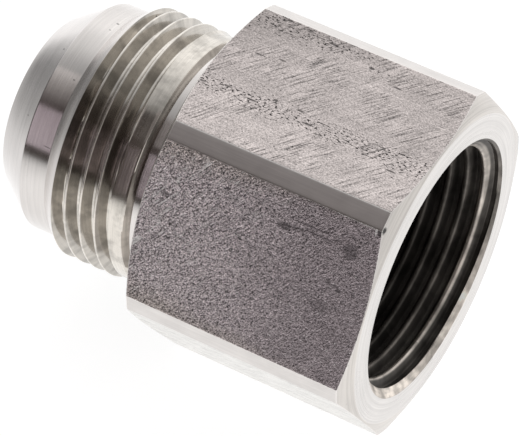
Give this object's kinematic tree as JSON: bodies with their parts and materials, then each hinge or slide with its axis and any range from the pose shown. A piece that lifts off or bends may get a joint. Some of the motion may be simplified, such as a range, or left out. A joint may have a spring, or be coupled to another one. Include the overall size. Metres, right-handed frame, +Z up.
{
  "type": "reducing nipple",
  "caption": "Stainless steel adapter with a flared-cone male thread end, a hexagon body with bare round corners and a threaded female socket, bored through.",
  "frame": {"origin": "centre of the part's footprint, on the hexagon flat it lies on", "axes": "+X along the axis out of the female mouth, +Z up"},
  "size_m": [0.0548, 0.046, 0.041],
  "materials": {
    "steel": "satin"
  },
  "bodies": {
    "root": {"fitting_body": "steel"}
  },
  "joints": []
}
